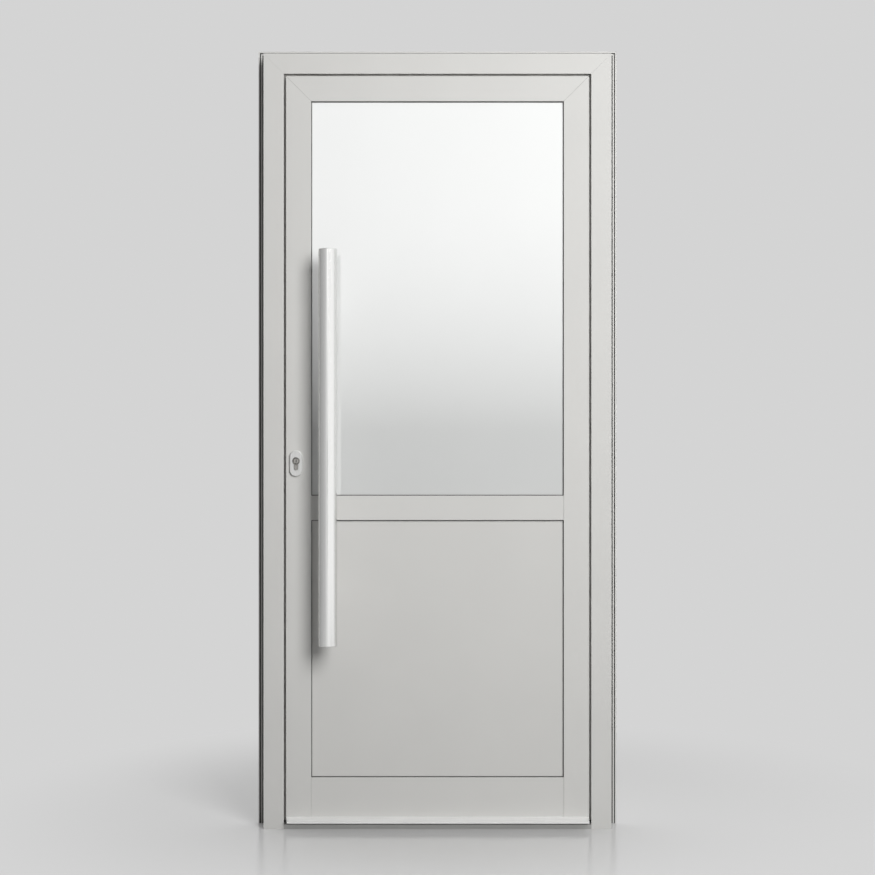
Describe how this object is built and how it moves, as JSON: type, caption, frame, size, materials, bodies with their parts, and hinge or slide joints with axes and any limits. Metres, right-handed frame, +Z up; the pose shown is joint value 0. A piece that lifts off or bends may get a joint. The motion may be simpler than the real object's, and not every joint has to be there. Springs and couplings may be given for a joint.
{
  "type": "exterior door",
  "caption": "Glazed aluminium exterior door in its frame, with a panel below a mid rail, a pull bar, a lock, a drip rail and barrel hinges; the leaf swings inwards.",
  "frame": {"origin": "middle of the frame's depth, centre of the threshold's underside, which stands on the floor", "axes": "+X to the right as seen from outside, +Y into the house, +Z up"},
  "size_m": [0.98, 0.2429, 2.114],
  "materials": {
    "coated_aluminium": "fine-textured matt powder coat, light warm grey, on aluminium",
    "coated_sheet": "the same powder coat on flat aluminium sheet",
    "threshold_aluminium": "dark anodised aluminium",
    "bar_aluminium": "satin anodised tube and drip rail",
    "lock_trim": "satin anodised",
    "lock_steel": "nickel-plated",
    "hinge_paint": "powder coat to match the frame",
    "satin_glass": "outer pane of float glass with a polished face over a milky satin layer",
    "clear_glass": "inner pane of clear float glass",
    "glazing_gasket": "grey rubber glazing gasket",
    "seal_rubber": "black rubber seal",
    "break_polyamide": "glass-fibre reinforced polyamide",
    "spacer_plastic": "warm-edge spacer",
    "panel_foam": "hard insulating foam between the panel's sheets"
  },
  "bodies": {
    "frame": {"left_jamb": "coated_aluminium", "right_jamb": "coated_aluminium", "head": "coated_aluminium", "frame_thermal_break": "break_polyamide", "outer_stop_gasket": "seal_rubber", "inner_stop_gasket": "seal_rubber", "threshold_outer": "threshold_aluminium", "threshold_break": "break_polyamide", "threshold_inner": "threshold_aluminium", "strike_plate": "lock_steel", "hinge_pins": "hinge_paint", "hinge_frame_part_1": "hinge_paint", "hinge_frame_part_2": "hinge_paint", "hinge_frame_part_3": "hinge_paint"},
    "leaf": {"lock_stile": "coated_aluminium", "hinge_stile": "coated_aluminium", "top_rail": "coated_aluminium", "mid_rail": "coated_aluminium", "bottom_rail": "coated_aluminium", "leaf_thermal_break": "break_polyamide", "glass_pane_outer": "satin_glass", "glass_pane_inner": "clear_glass", "glass_spacer": "spacer_plastic", "panel_outer_sheet": "coated_sheet", "panel_core": "panel_foam", "panel_inner_sheet": "coated_sheet", "glass_gasket": "glazing_gasket", "panel_gasket": "glazing_gasket", "glass_beads": "coated_aluminium", "panel_beads": "coated_aluminium", "drip_rail": "bar_aluminium", "bottom_seal": "seal_rubber", "pull_bar": "bar_aluminium", "pull_bar_ends": "bar_aluminium", "standoffs": "bar_aluminium", "pull_bolts": "bar_aluminium", "lock_escutcheon": "lock_trim", "lock_cylinder": "lock_steel", "lock_faceplate": "lock_steel", "inside_plate": "lock_trim", "inside_lever": "lock_trim", "hinge_leaf_part_1": "hinge_paint", "hinge_leaf_part_2": "hinge_paint", "hinge_leaf_part_3": "hinge_paint"},
    "key_plug": {"cylinder_plug": "lock_steel"}
  },
  "joints": [
    {"name": "leaf_swing", "type": "hinge", "parent": "frame", "child": "leaf", "pos_m": [0.445, 0.0505, 1.04], "axis": [0, 0, -1], "range_deg": [0, 100]},
    {"name": "key_turn", "type": "hinge", "parent": "leaf", "child": "key_plug", "pos_m": [-0.3815, -0.02, 0.9935], "axis": [0, 1, 0], "continuous": true}
  ]
}
